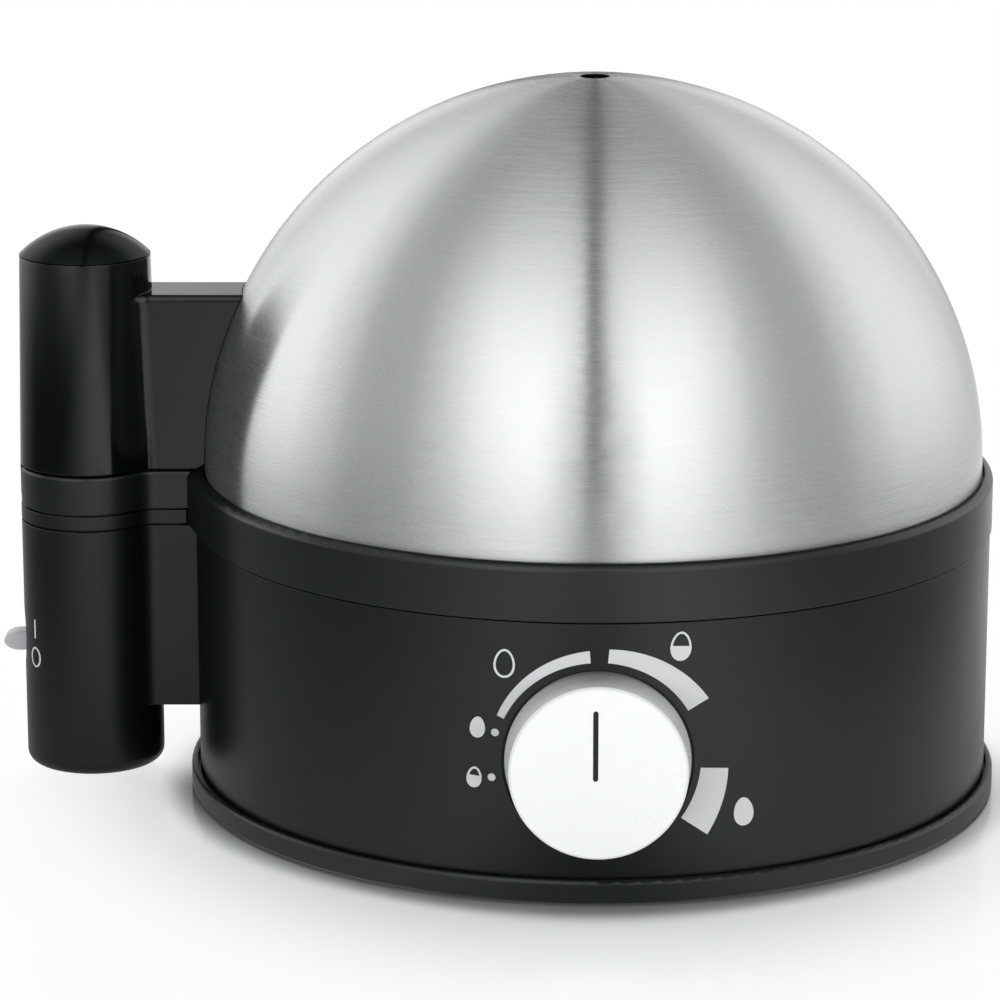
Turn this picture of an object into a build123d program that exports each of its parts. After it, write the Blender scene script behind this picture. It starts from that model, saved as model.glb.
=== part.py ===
from build123d import *

import os
from math import acos, asin, cos, degrees, radians, sin, sqrt

os.makedirs("parts", exist_ok=True)

# Driving dimensions, in mm. The origin is on the body's axis at table level, the dial faces -Y
# and the switch column stands at -X.
RING_R = 95.0  # top ring, outside
BODY_R = 94.6  # body wall, outside
WALL = 2.5  # moulded wall of the body
FLANGE_R = 96.7  # foot flange, outside
FLANGE_BOTTOM = 0.6  # flange over the table
FLANGE_TOP = 6.0
BODY_BOTTOM = 4.5
BODY_TOP = 64.35
RING_BOTTOM = 64.75  # the shadow line under the ring is 0.4 high
RING_TOP = 77.6
RING_ROUND = 1.8  # rounding of the ring's top edge
DOME_R = 92.38  # steel dome, outside
DOME_RISE = 90.78  # height of the dome's elliptical part
DOME_CENTRE = 79.77  # level where the dome turns upright
DOME_RIM = 75.4  # lower edge of the dome
DOME_SHEET = 0.7
VENT_R = 3.5
LID_GAP = 0.6  # dome to ring, and lid column to collar

COLUMN_X = -120.14  # axis of the switch column
COLUMN_R = 16.5
COLUMN_TOP_R = 15.45  # the upper column tapers to this
COLUMN_WALL = 2.2
COLUMN_BOTTOM = 4.0
COLUMN_TOP = 128.2
CAP_BOTTOM = 128.4
CAP_RISE = 6.5
WEB_HALF = 9.0  # half thickness of the web between column and body
WEB_FILLET = 6.0  # where web and column meet
WEB_BOTTOM = 19.9
WEB_TOP = 119.9
SPACER_BOTTOM = 64.9
SPACER_TOP = 68.1
COLLAR_BOTTOM = 68.6
ARM_TURN = 16.0  # beside the arm the ring runs straight, from this many degrees off the X axis

HINGE_X = -133.38  # axis of the lid's hinge pin
HINGE_Z = 71.5
HINGE_PIN_R = 1.0
TONGUE_HALF = 3.7
SLOT_HALF = 4.0

DIAL_Z = 32.5
MARKS_Z = 32.9  # the printed marks are centred a little above the dial
DIAL_FACE_Y = -102.2
DIAL_FACE_R = 19.75
DIAL_BACK_R = 20.65
DIAL_BACK_Y = -92.4
DIAL_RECESS_Y = -92.0
DIAL_RECESS_R = 21.2
SHAFT_R = 3.0

SWITCH_Z = 35.2  # level of the printed marks' plane
PIVOT_X = -130.5
PIVOT_Z = 34.1
LEVER_TIP_X = -141.6
LEVER_TILT = 1.7  # the lever hangs this many degrees below level when off

BOWL_FLANGE_R = 92.2
BOWL_FLANGE_TOP = 74.9
BOWL_SHEET = 0.7
BOWL_MOUTH_R = 80.0
BOWL_FLOOR_R = 68.0
BOWL_FLOOR = 54.0

CARRIER_R = 82.0
CARRIER_TOP = 79.6
CARRIER_PLATE = 2.2
EGG_COUNT = 7
EGG_HOLE_R = 17.0
EGG_CIRCLE_R = 53.0


def export(builder, name):
    builder.part.label = name
    export_step(builder.part, f"parts/{name}.step")


def arm_outline(end_x, inset=0.0):
    """Plan of column and web, from the column's far side to end_x, moved in by inset."""
    half = WEB_HALF - inset
    radius = COLUMN_R - inset
    with Locations((COLUMN_X, 0)):
        Circle(radius)
    with Locations(((COLUMN_X + end_x) / 2, 0)):
        Rectangle(end_x - COLUMN_X, 2 * half)
    joint_x = COLUMN_X + sqrt(radius**2 - half**2)
    at_joint = [v for v in vertices() if abs(v.X - joint_x) < 0.01]
    fillet(at_joint, WEB_FILLET + inset)


def dome_section(grow, bottom):
    """Half section of all that lies inside the dome's outer face, made larger by grow."""
    with BuildLine() as outline:
        crown = EllipticalCenterArc(
            (0, DOME_CENTRE), DOME_R + grow, DOME_RISE + grow, start_angle=0, arc_size=90
        )
        Polyline(crown @ 1, (0, bottom), (DOME_R + grow, bottom), crown @ 0)
    make_face(outline.edges())


def shell_section(outer_drop, inner_drop, top_r):
    """Half section of a shell between two depths under the dome's outer face, open inside top_r."""
    outer = (DOME_R - outer_drop, DOME_RISE - outer_drop)
    inner = (DOME_R - inner_drop, DOME_RISE - inner_drop)
    outer_end = degrees(acos(top_r / outer[0]))
    inner_end = degrees(acos(top_r / inner[0]))
    with BuildLine() as outline:
        outside = EllipticalCenterArc((0, DOME_CENTRE), *outer, start_angle=0, arc_size=outer_end)
        inside = EllipticalCenterArc((0, DOME_CENTRE), *inner, start_angle=0, arc_size=inner_end)
        Line(outside @ 1, inside @ 1)
        Polyline(inside @ 0, (inner[0], DOME_RIM), (outer[0], DOME_RIM), outside @ 0)
    make_face(outline.edges())


# Base housing: body wall, web and lower column in one moulding
BOSS_R = 87.5  # circle of the screw posts
BOSS_ANGLES = [45, 135, 225, 315]
POST_R = 4.2
POST_TOP = 24.0
EAR_BOTTOM = 58.0
EAR_TOP = 61.5
BOARD_POST_X = 27.0
BOARD_POST_Z = [16.0, 46.0]
BOARD_Y = -78.0  # front face of the timer board
SHELF_BOTTOM = 22.8
SHELF_TOP = 25.2
WIRE_WINDOW = 10.0
INLET_Z = 16.0
INLET_R = 4.8
SCOOP_R = 42.0
SCOOP_DEPTH = 0.75
SCOOP_Z = 35.7
SWITCH_SLOT_HALF = 3.5
SLOT_Z = 34.8
PAD_R = 24.0
PAD = 2.5
PLATE_BOTTOM = 2.4  # bottom cover
PLATE_TOP = 4.8

with BuildPart() as base_housing:
    with BuildSketch(Plane.XY.offset(BODY_BOTTOM)):
        Circle(BODY_R)
    extrude(amount=BODY_TOP - BODY_BOTTOM)
    with BuildSketch(Plane.XY.offset(WEB_BOTTOM)):
        arm_outline(-BODY_R + WALL / 2)
    extrude(amount=BODY_TOP - WEB_BOTTOM)
    with BuildSketch(Plane.XY.offset(COLUMN_BOTTOM)):
        with Locations((COLUMN_X, 0)):
            Circle(COLUMN_R)
    extrude(amount=WEB_BOTTOM - COLUMN_BOTTOM)
    fillet(edges().filter_by(GeomType.CIRCLE).group_by(Axis.Z)[0], 3.0)
    # hollows of body, column and web
    with BuildSketch(Plane.XY.offset(BODY_BOTTOM)):
        Circle(BODY_R - WALL)
    extrude(amount=BODY_TOP - BODY_BOTTOM, mode=Mode.SUBTRACT)
    with BuildSketch(Plane.XY.offset(COLUMN_BOTTOM + COLUMN_WALL)):
        with Locations((COLUMN_X, 0)):
            Circle(COLUMN_R - COLUMN_WALL)
    extrude(amount=BODY_TOP, mode=Mode.SUBTRACT)
    with BuildSketch(Plane.XY.offset(WEB_BOTTOM + COLUMN_WALL)):
        with Locations((COLUMN_X + 10, 0)):
            Rectangle(
                -BODY_R - 1.2 - COLUMN_X - 10, 2 * (WEB_HALF - COLUMN_WALL), align=(Align.MIN, Align.CENTER)
            )
    extrude(amount=BODY_TOP, mode=Mode.SUBTRACT)
    # window for the wires through the body wall
    with BuildSketch(Plane.YZ.offset(-BODY_R - 2)):
        with Locations((0, SWITCH_Z)):
            Rectangle(WIRE_WINDOW, WIRE_WINDOW)
    extrude(amount=2 * WALL + 2, mode=Mode.SUBTRACT)
    # screw posts at the foot and ears for the rim ring
    with BuildSketch(Plane.XY.offset(PLATE_TOP)):
        for angle in BOSS_ANGLES:
            with Locations(Rot(0, 0, angle) * Pos(BOSS_R, 0)):
                Circle(POST_R)
                Rectangle(6, 3, align=(Align.MIN, Align.CENTER))
    extrude(amount=POST_TOP - PLATE_TOP)
    with BuildSketch(Plane.XY.offset(EAR_BOTTOM)):
        for angle in BOSS_ANGLES:
            with Locations(Rot(0, 0, angle) * Pos(BOSS_R - 0.5, 0)):
                Rectangle(12, 14)
    extrude(amount=EAR_TOP - EAR_BOTTOM)
    # bosses for the timer board
    with BuildSketch(Plane.XZ.offset(-BOARD_Y)):
        for z in BOARD_POST_Z:
            with Locations((-BOARD_POST_X, z), (BOARD_POST_X, z)):
                Circle(3.5)
    extrude(amount=BODY_R + BOARD_Y - 4)
    # pad behind the dial
    with BuildSketch(Plane.XZ.offset(-DIAL_RECESS_Y - PAD)):
        with Locations((0, DIAL_Z)):
            Circle(PAD_R)
    extrude(amount=PAD)
    # nothing stands out of the body's own cylinder next to the pad and the posts
    with BuildSketch(Plane.XY):
        with Locations((0, -80)):
            Rectangle(120, 60)
        Circle(BODY_R, mode=Mode.SUBTRACT)
    extrude(amount=BODY_TOP, mode=Mode.SUBTRACT)
    # recess and hole of the dial
    with BuildSketch(Plane.XZ.offset(-DIAL_RECESS_Y)):
        with Locations((0, DIAL_Z)):
            Circle(DIAL_RECESS_R)
    extrude(amount=10, mode=Mode.SUBTRACT)
    with BuildSketch(Plane.XZ.offset(80)):
        with Locations((0, DIAL_Z)):
            Circle(4.5)
    extrude(amount=20, mode=Mode.SUBTRACT)
    # shelf of the switch inside the column
    with BuildSketch(Plane.XY.offset(SHELF_BOTTOM)):
        with Locations((COLUMN_X, 0)):
            Circle(COLUMN_R - COLUMN_WALL)
        with Locations((COLUMN_X + 9, 0)):
            Circle(3.0, mode=Mode.SUBTRACT)
    extrude(amount=SHELF_TOP - SHELF_BOTTOM)
    # scoop round the switch lever, and its slot
    scoop_x = COLUMN_X - COLUMN_R + SCOOP_DEPTH - SCOOP_R
    with BuildSketch(Plane.XZ.offset(-20)):
        with Locations((scoop_x, SCOOP_Z)):
            Circle(SCOOP_R)
    extrude(amount=40, mode=Mode.SUBTRACT)
    with BuildSketch(Plane.YZ.offset(COLUMN_X - COLUMN_R - 2)):
        with Locations((0, SLOT_Z)):
            RectangleRounded(2 * SWITCH_SLOT_HALF, 7.6, 1.5)
    extrude(amount=COLUMN_WALL + 4, mode=Mode.SUBTRACT)
    # screw holes and the inlet of the mains lead
    with BuildSketch(Plane.XY.offset(BODY_BOTTOM)):
        for angle in BOSS_ANGLES:
            with Locations(Rot(0, 0, angle) * Pos(BOSS_R, 0)):
                Circle(1.5)
    extrude(amount=14, mode=Mode.SUBTRACT)
    with BuildSketch(Plane.XY.offset(EAR_BOTTOM)):
        for angle in BOSS_ANGLES:
            with Locations(Rot(0, 0, angle) * Pos(BOSS_R, 0)):
                Circle(1.7)
    extrude(amount=EAR_TOP - EAR_BOTTOM, mode=Mode.SUBTRACT)
    with BuildSketch(Plane.XZ.offset(-BODY_R - 2)):
        with Locations((0, INLET_Z)):
            Circle(INLET_R)
    extrude(amount=WALL + 4, mode=Mode.SUBTRACT)
    with BuildSketch(Plane.XZ.offset(-BOARD_Y)):
        for z in BOARD_POST_Z:
            with Locations((-BOARD_POST_X, z), (BOARD_POST_X, z)):
                Circle(1.25)
    extrude(amount=8, mode=Mode.SUBTRACT)
export(base_housing, "base_housing")

# Rim ring with the arm and the collar of the lid hinge
LIP_R = DOME_R + LID_GAP
SHELF_R = 86.0
SEAL = 0.8
SHELF_Z = BOWL_FLANGE_TOP - BOWL_SHEET - SEAL
SKIRT_R = BODY_R - WALL - 0.1
SKIRT_BOTTOM = 61.8
COLLAR_ROUND = 0.8
turn_cos = cos(radians(ARM_TURN))
turn_sin = sin(radians(ARM_TURN))
run_start = (-RING_R * turn_cos, RING_R * turn_sin)
run_end = (-(RING_R - WEB_HALF * turn_sin) / turn_cos, WEB_HALF)

with BuildPart() as ring_arm:
    # rounded along the top with the whole ring's disc, then cut down to arm and collar
    with BuildSketch(Plane.XY.offset(COLLAR_BOTTOM)):
        arm_outline(-BODY_R + 1)
        Circle(RING_R)
    extrude(amount=RING_TOP - COLLAR_BOTTOM)
    fillet(faces().sort_by(Axis.Z)[-1].edges(), COLLAR_ROUND)
    with BuildSketch(Plane.XY.offset(COLLAR_BOTTOM)):
        with Locations((COLUMN_X, 0)):
            Circle(COLUMN_R + 1)
            Rectangle(-COLUMN_X - LIP_R, 2 * WEB_HALF + 6, align=(Align.MIN, Align.CENTER))
        Circle(LIP_R, mode=Mode.SUBTRACT)
    extrude(amount=RING_TOP - COLLAR_BOTTOM, mode=Mode.INTERSECT)

with BuildPart() as rim_ring:
    # straight runs of the ring on both sides of the arm
    with BuildSketch(Plane.XY.offset(RING_BOTTOM)):
        Circle(RING_R)
        with BuildLine():
            Polyline(
                run_start,
                run_end,
                (run_end[0], -run_end[1]),
                (run_start[0], -run_start[1]),
                run_start,
            )
        make_face()
    extrude(amount=RING_TOP - RING_BOTTOM)
    fillet(faces().sort_by(Axis.Z)[-1].edges(), RING_ROUND)
    with BuildSketch(Plane.XY.offset(RING_BOTTOM)):
        with Locations((-RING_R, 0)):
            Rectangle(30, 2 * run_start[1])
        Circle(LIP_R, mode=Mode.SUBTRACT)
    extrude(amount=RING_TOP - RING_BOTTOM, mode=Mode.INTERSECT)
    add(ring_arm.part)
    with BuildSketch(Plane.XZ):
        with BuildLine():
            Polyline(
                (RING_R - RING_ROUND, RING_TOP),
                (LIP_R, RING_TOP),
                (LIP_R, SHELF_Z),
                (SHELF_R, SHELF_Z),
                (SHELF_R, SHELF_Z - 2.4),
                (SKIRT_R - 2.2, SHELF_Z - 4.4),
                (SKIRT_R - 2.2, SKIRT_BOTTOM),
                (SKIRT_R, SKIRT_BOTTOM),
                (SKIRT_R, RING_BOTTOM),
                (RING_R, RING_BOTTOM),
                (RING_R, RING_TOP - RING_ROUND),
            )
            CenterArc((RING_R - RING_ROUND, RING_TOP - RING_ROUND), RING_ROUND, 0, 90)
        make_face()
    revolve(axis=Axis.Z)
    # hollows under the collar and the arm
    with BuildSketch(Plane.XY.offset(COLLAR_BOTTOM)):
        with Locations((COLUMN_X + 3, 0)):
            Circle(8.0)
        with Locations((-103, 0)):
            Rectangle(10, 2 * (WEB_HALF - COLUMN_WALL))
    extrude(amount=5.5, mode=Mode.SUBTRACT)
    # slot of the lid's tongue and hole of the hinge pin
    with BuildSketch(Plane.XY.offset(COLLAR_BOTTOM)):
        with Locations((HINGE_X + 3.6, 0)):
            Rectangle(20, 2 * SLOT_HALF, align=(Align.MAX, Align.CENTER))
    extrude(amount=20, mode=Mode.SUBTRACT)
    with BuildSketch(Plane.XZ.offset(-20)):
        with Locations((HINGE_X, HINGE_Z)):
            Circle(HINGE_PIN_R)
    extrude(amount=27, mode=Mode.SUBTRACT)
    # screw bosses under the shelf
    with BuildSketch(Plane.XY.offset(EAR_TOP)):
        for angle in BOSS_ANGLES:
            with Locations(Rot(0, 0, angle) * Pos(BOSS_R, 0)):
                Circle(3.8)
    extrude(amount=SHELF_Z - EAR_TOP - 1)
    with BuildSketch(Plane.XY.offset(EAR_TOP)):
        for angle in BOSS_ANGLES:
            with Locations(Rot(0, 0, angle) * Pos(BOSS_R, 0)):
                Circle(1.5)
    extrude(amount=8.5, mode=Mode.SUBTRACT)
export(rim_ring, "rim_ring")

# Spacer band between collar and lower column
with BuildPart() as column_spacer:
    with BuildSketch(Plane.XY.offset(SPACER_BOTTOM)):
        arm_outline(run_end[0] - 0.3)
    extrude(amount=SPACER_TOP - SPACER_BOTTOM)
    with BuildSketch(Plane.XY.offset(BODY_TOP)):
        arm_outline(run_end[0] - 1.3, inset=1.0)
    extrude(amount=COLLAR_BOTTOM - BODY_TOP)
    with BuildSketch(Plane.XY.offset(BODY_TOP)):
        with Locations((COLUMN_X + 3, 0)):
            Circle(8.0)
    extrude(amount=10, mode=Mode.SUBTRACT)
    # room under the lid's tongue
    with BuildSketch(Plane.XY.offset(SPACER_TOP)):
        with Locations((HINGE_X + 3.6, 0)):
            Rectangle(20, 2 * SLOT_HALF, align=(Align.MAX, Align.CENTER))
    extrude(amount=10, mode=Mode.SUBTRACT)
export(column_spacer, "column_spacer")

# Bottom cover with the foot flange
FOOT_R = [66.0, 74.0]
FOOT_SEAT = 2.0
VENT_COUNT = 8

with BuildPart() as bottom_cover:
    with BuildSketch(Plane.XZ):
        with BuildLine():
            Polyline(
                (0, PLATE_BOTTOM),
                (FOOT_R[0] - 2, PLATE_BOTTOM),
                (FOOT_R[0] - 2, FLANGE_BOTTOM + 0.4),
                (FOOT_R[0], FLANGE_BOTTOM + 0.4),
                (FOOT_R[0], FOOT_SEAT),
                (FOOT_R[1], FOOT_SEAT),
                (FOOT_R[1], FLANGE_BOTTOM + 0.4),
                (FOOT_R[1] + 2, FLANGE_BOTTOM + 0.4),
                (FOOT_R[1] + 2, PLATE_BOTTOM),
                (FLANGE_R - 6, PLATE_BOTTOM),
                (FLANGE_R - 6, FLANGE_BOTTOM),
                (FLANGE_R - 0.5, FLANGE_BOTTOM),
                (FLANGE_R, FLANGE_BOTTOM + 0.5),
                (FLANGE_R, FLANGE_TOP - 1.0),
            )
            CenterArc((FLANGE_R - 1.0, FLANGE_TOP - 1.0), 1.0, 0, 90)
            Polyline(
                (FLANGE_R - 1.0, FLANGE_TOP),
                (BODY_R + 0.6, FLANGE_TOP),
                (BODY_R + 0.6, BODY_BOTTOM),
                (BODY_R - WALL - 0.3, BODY_BOTTOM),
                (BODY_R - WALL - 0.3, PLATE_TOP),
                (0, PLATE_TOP),
                (0, PLATE_BOTTOM),
            )
        make_face()
    revolve(axis=Axis.Z)
    with BuildSketch(Plane.XY):
        with PolarLocations(40, VENT_COUNT):
            SlotOverall(22, 2.6)
        for angle in BOSS_ANGLES:
            with Locations(Rot(0, 0, angle) * Pos(BOSS_R, 0)):
                Circle(1.7)
    extrude(amount=10, mode=Mode.SUBTRACT)
    with BuildSketch(Plane.XY):
        for angle in BOSS_ANGLES:
            with Locations(Rot(0, 0, angle) * Pos(BOSS_R, 0)):
                Circle(3.4)
    extrude(amount=3.4, mode=Mode.SUBTRACT)
export(bottom_cover, "bottom_cover")

with BuildPart() as foot_ring:
    with BuildSketch(Plane.XY):
        Circle(FOOT_R[1])
        Circle(FOOT_R[0], mode=Mode.SUBTRACT)
    extrude(amount=FOOT_SEAT)
    chamfer(faces().sort_by(Axis.Z)[0].edges(), 0.5)
export(foot_ring, "foot_ring")


def screw_group(name, seat_z, head_r, head, shank_r, shank, points):
    """Pan-head screws driven upwards at the given points, heads below seat_z."""
    with BuildPart() as screws:
        with BuildSketch(Plane.XY.offset(seat_z - head)):
            with Locations(*points):
                Circle(head_r)
        extrude(amount=head)
        chamfer(faces().group_by(Axis.Z)[0].edges(), 0.4)
        with BuildSketch(Plane.XY.offset(seat_z - head)):
            with Locations(*points):
                Rectangle(0.8, head_r * 1.3)
                Rectangle(head_r * 1.3, 0.8)
        extrude(amount=head / 2, mode=Mode.SUBTRACT)
        with BuildSketch(Plane.XY.offset(seat_z)):
            with Locations(*points):
                Circle(shank_r)
        extrude(amount=shank)
    export(screws, name)


boss_points = [(BOSS_R * cos(radians(a)), BOSS_R * sin(radians(a))) for a in BOSS_ANGLES]
screw_group("cover_screws", 3.4, 3.0, 2.0, 1.5, 12.0, boss_points)
screw_group("rim_screws", EAR_BOTTOM, 3.0, 2.0, 1.5, 11.0, boss_points)

# Water bowl, its seal, and the heater under it
with BuildPart() as bowl_seal:
    with BuildSketch(Plane.XY.offset(SHELF_Z)):
        Circle(LIP_R)
        Circle(SHELF_R, mode=Mode.SUBTRACT)
    extrude(amount=SEAL)
export(bowl_seal, "bowl_seal")

with BuildPart() as heating_bowl:
    with BuildSketch(Plane.XZ):
        with BuildLine():
            outline = Polyline(
                (0, BOWL_FLOOR - BOWL_SHEET),
                (BOWL_FLOOR_R, BOWL_FLOOR - BOWL_SHEET),
                (BOWL_MOUTH_R, BOWL_FLANGE_TOP - BOWL_SHEET),
                (BOWL_FLANGE_R, BOWL_FLANGE_TOP - BOWL_SHEET),
                (BOWL_FLANGE_R, BOWL_FLANGE_TOP),
                (BOWL_MOUTH_R - 0.5, BOWL_FLANGE_TOP),
                (BOWL_FLOOR_R - 0.4, BOWL_FLOOR),
                (0, BOWL_FLOOR),
                (0, BOWL_FLOOR - BOWL_SHEET),
            )
        make_face()
    revolve(axis=Axis.Z)
    floor_edges = edges().filter_by(GeomType.CIRCLE).group_by(Axis.Z)
    fillet(floor_edges[0], 3.7)
    fillet(edges().filter_by(GeomType.CIRCLE).filter_by(lambda e: abs(e.center().Z - BOWL_FLOOR) < 0.01), 3.0)
export(heating_bowl, "heating_bowl")

SPREADER_R = 60.0
SPREADER = 2.3
SPREADER_BOTTOM = BOWL_FLOOR - BOWL_SHEET - SPREADER
ELEMENT_R = 46.0
ELEMENT_TUBE_R = 3.3
ELEMENT_ARC = 320.0
STUD_R = 3.0
STRAP = 1.6
STRAP_TOP = SPREADER_BOTTOM - 2 * ELEMENT_TUBE_R
NUT = 3.2

with BuildPart() as heat_spreader:
    with BuildSketch(Plane.XY.offset(SPREADER_BOTTOM)):
        Circle(SPREADER_R)
    extrude(amount=SPREADER)
    with BuildSketch(Plane.XY.offset(STRAP_TOP - STRAP - NUT - 1)):
        Circle(STUD_R)
    extrude(amount=SPREADER_BOTTOM - STRAP_TOP + STRAP + NUT + 1)
export(heat_spreader, "heat_spreader")

with BuildPart() as heating_element:
    half_gap = (360 - ELEMENT_ARC) / 2
    start = Plane(
        origin=(ELEMENT_R * cos(radians(half_gap)), ELEMENT_R * sin(radians(half_gap)), 0),
        x_dir=(cos(radians(half_gap)), sin(radians(half_gap)), 0),
        z_dir=(-sin(radians(half_gap)), cos(radians(half_gap)), 0),
    )
    with BuildSketch(start):
        with Locations((0, -(SPREADER_BOTTOM - ELEMENT_TUBE_R))):
            Circle(ELEMENT_TUBE_R)
    revolve(axis=Axis.Z, revolution_arc=ELEMENT_ARC)
    with BuildSketch(Plane.XY.offset(SPREADER_BOTTOM - 14)):
        for angle in (half_gap + 3, -half_gap - 3):
            with Locations(Rot(0, 0, angle) * Pos(ELEMENT_R, 0)):
                Circle(1.8)
    extrude(amount=14 - ELEMENT_TUBE_R)
export(heating_element, "heating_element")

with BuildPart() as element_clamp:
    with BuildSketch(Plane.XY.offset(STRAP_TOP - STRAP)):
        Rectangle(16, 108)
        Circle(STUD_R + 0.3, mode=Mode.SUBTRACT)
    extrude(amount=STRAP)
export(element_clamp, "element_clamp")

with BuildPart() as clamp_nut:
    with BuildSketch(Plane.XY.offset(STRAP_TOP - STRAP - NUT)):
        RegularPolygon(5.0, 6, major_radius=False)
        Circle(STUD_R, mode=Mode.SUBTRACT)
    extrude(amount=NUT)
export(clamp_nut, "clamp_nut")

with BuildPart() as thermostat:
    with BuildSketch(Plane.XY.offset(SPREADER_BOTTOM - 5.5)):
        with Locations((26, 0)):
            Circle(8.0)
    extrude(amount=5.5)
    with BuildSketch(Plane.XY.offset(SPREADER_BOTTOM - 10)):
        with Locations((26, 4), (26, -4)):
            Rectangle(0.8, 4.0)
    extrude(amount=4.5)
export(thermostat, "thermostat")

with BuildPart() as thermal_fuse:
    with BuildSketch(Plane.XZ.offset(-7)):
        with Locations((-26, SPREADER_BOTTOM - 2)):
            Circle(2.0)
    extrude(amount=14)
export(thermal_fuse, "thermal_fuse")

# Timer board behind the dial
BOARD = 1.6
BOARD_BACK_Y = BOARD_Y + BOARD
POT_FRONT_Y = DIAL_RECESS_Y + PAD + 0.2

with BuildPart() as control_board:
    with BuildSketch(Plane.XZ.offset(-BOARD_BACK_Y)):
        with Locations((0, 31)):
            Rectangle(66, 40)
        for z in BOARD_POST_Z:
            with Locations((-BOARD_POST_X, z), (BOARD_POST_X, z)):
                Circle(1.6, mode=Mode.SUBTRACT)
    extrude(amount=BOARD)
export(control_board, "control_board")

with BuildPart() as board_screws:
    with BuildSketch(Plane.XZ.offset(-BOARD_BACK_Y)):
        for z in BOARD_POST_Z:
            with Locations((-BOARD_POST_X, z), (BOARD_POST_X, z)):
                Circle(1.25)
    extrude(amount=8)
    with BuildSketch(Plane.XZ.offset(-BOARD_BACK_Y - 1.8)):
        for z in BOARD_POST_Z:
            with Locations((-BOARD_POST_X, z), (BOARD_POST_X, z)):
                Circle(2.6)
    extrude(amount=1.8)
export(board_screws, "board_screws")

with BuildPart() as timer_parts:
    with BuildSketch(Plane.XZ.offset(-BOARD_BACK_Y - 15)):
        with Locations((-12, 27)):
            Rectangle(16, 20)
    extrude(amount=15)
    with BuildSketch(Plane.XZ.offset(-BOARD_BACK_Y - 14)):
        with Locations((8, 24)):
            Rectangle(12, 20)
    extrude(amount=14)
    with BuildSketch(Plane.XZ.offset(-BOARD_BACK_Y - 12)):
        with Locations((20, 27)):
            Circle(4.0)
        with Locations((20, 37)):
            Circle(3.0)
    extrude(amount=12)
export(timer_parts, "timer_parts")

with BuildPart() as buzzer:
    with BuildSketch(Plane.XZ.offset(-BOARD_BACK_Y - 7)):
        with Locations((-1, 43)):
            Circle(5.5)
            Circle(1.0, mode=Mode.SUBTRACT)
    extrude(amount=7)
export(buzzer, "buzzer")

with BuildPart() as timer_potentiometer:
    with BuildSketch(Plane.XZ.offset(-BOARD_Y)):
        with Locations((0, DIAL_Z)):
            Circle(8.5)
    extrude(amount=BOARD_Y - POT_FRONT_Y)
    with BuildSketch(Plane.XZ.offset(-POT_FRONT_Y)):
        with Locations((0, DIAL_Z)):
            Circle(4.4)
    extrude(amount=POT_FRONT_Y - DIAL_RECESS_Y + 2.2)
    with BuildSketch(Plane.XZ.offset(-BOARD_Y - 0.5)):
        with Locations((0, DIAL_Z)):
            Circle(SHAFT_R + 0.05)
    extrude(amount=20, mode=Mode.SUBTRACT)
    with BuildSketch(Plane.XZ.offset(-BOARD_Y)):
        with Locations((0, DIAL_Z)):
            Circle(SHAFT_R + 1)
    extrude(amount=0.5)
export(timer_potentiometer, "timer_potentiometer")

with BuildPart() as pot_nut:
    with BuildSketch(Plane.XZ.offset(-DIAL_RECESS_Y)):
        with Locations((0, DIAL_Z)):
            RegularPolygon(6.0, 6, major_radius=False)
            Circle(4.4, mode=Mode.SUBTRACT)
    extrude(amount=1.8)
export(pot_nut, "pot_nut")

# Dial knob, turning about the Y axis through the dial's centre
HUB_R = 5.5
HUB_BACK_Y = DIAL_RECESS_Y - 2.6
KNOB_FACE = 2.4
POINTER_TOP = 14.35
POINTER_BOTTOM = -1.7
POINTER_WIDTH = 1.15
POINTER_X = -0.65
POINTER_DEPTH = 0.4

with BuildPart() as dial_knob:
    with BuildSketch(Plane.YZ):
        with BuildLine():
            Polyline(
                (DIAL_FACE_Y, DIAL_Z),
                (DIAL_FACE_Y, DIAL_Z + DIAL_FACE_R - 0.5),
                (DIAL_FACE_Y + 0.5, DIAL_Z + DIAL_FACE_R),
                (DIAL_BACK_Y, DIAL_Z + DIAL_BACK_R),
                (DIAL_BACK_Y, DIAL_Z + DIAL_BACK_R - 2.2),
                (DIAL_FACE_Y + KNOB_FACE, DIAL_Z + DIAL_FACE_R - 2.0),
                (DIAL_FACE_Y + KNOB_FACE, DIAL_Z + HUB_R),
                (HUB_BACK_Y, DIAL_Z + HUB_R),
                (HUB_BACK_Y, DIAL_Z),
                (DIAL_FACE_Y, DIAL_Z),
            )
        make_face()
    revolve(axis=Axis((0, 0, DIAL_Z), (0, 1, 0)))
    with BuildSketch(Plane.XZ.offset(-HUB_BACK_Y - 1)):
        with Locations((0, DIAL_Z)):
            Circle(SHAFT_R)
    extrude(amount=-DIAL_FACE_Y + HUB_BACK_Y - KNOB_FACE + 1, mode=Mode.SUBTRACT)
    with BuildSketch(Plane.XZ.offset(-DIAL_FACE_Y - POINTER_DEPTH)):
        with Locations((POINTER_X, DIAL_Z + (POINTER_TOP + POINTER_BOTTOM) / 2)):
            SlotOverall(POINTER_TOP - POINTER_BOTTOM, POINTER_WIDTH, rotation=90)
    extrude(amount=2, mode=Mode.SUBTRACT)
export(dial_knob, "dial_knob")

with BuildPart() as knob_pointer:
    with BuildSketch(Plane.XZ.offset(-DIAL_FACE_Y - POINTER_DEPTH)):
        with Locations((POINTER_X, DIAL_Z + (POINTER_TOP + POINTER_BOTTOM) / 2)):
            SlotOverall(POINTER_TOP - POINTER_BOTTOM, POINTER_WIDTH, rotation=90)
    extrude(amount=POINTER_DEPTH)
export(knob_pointer, "knob_pointer")

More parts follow.
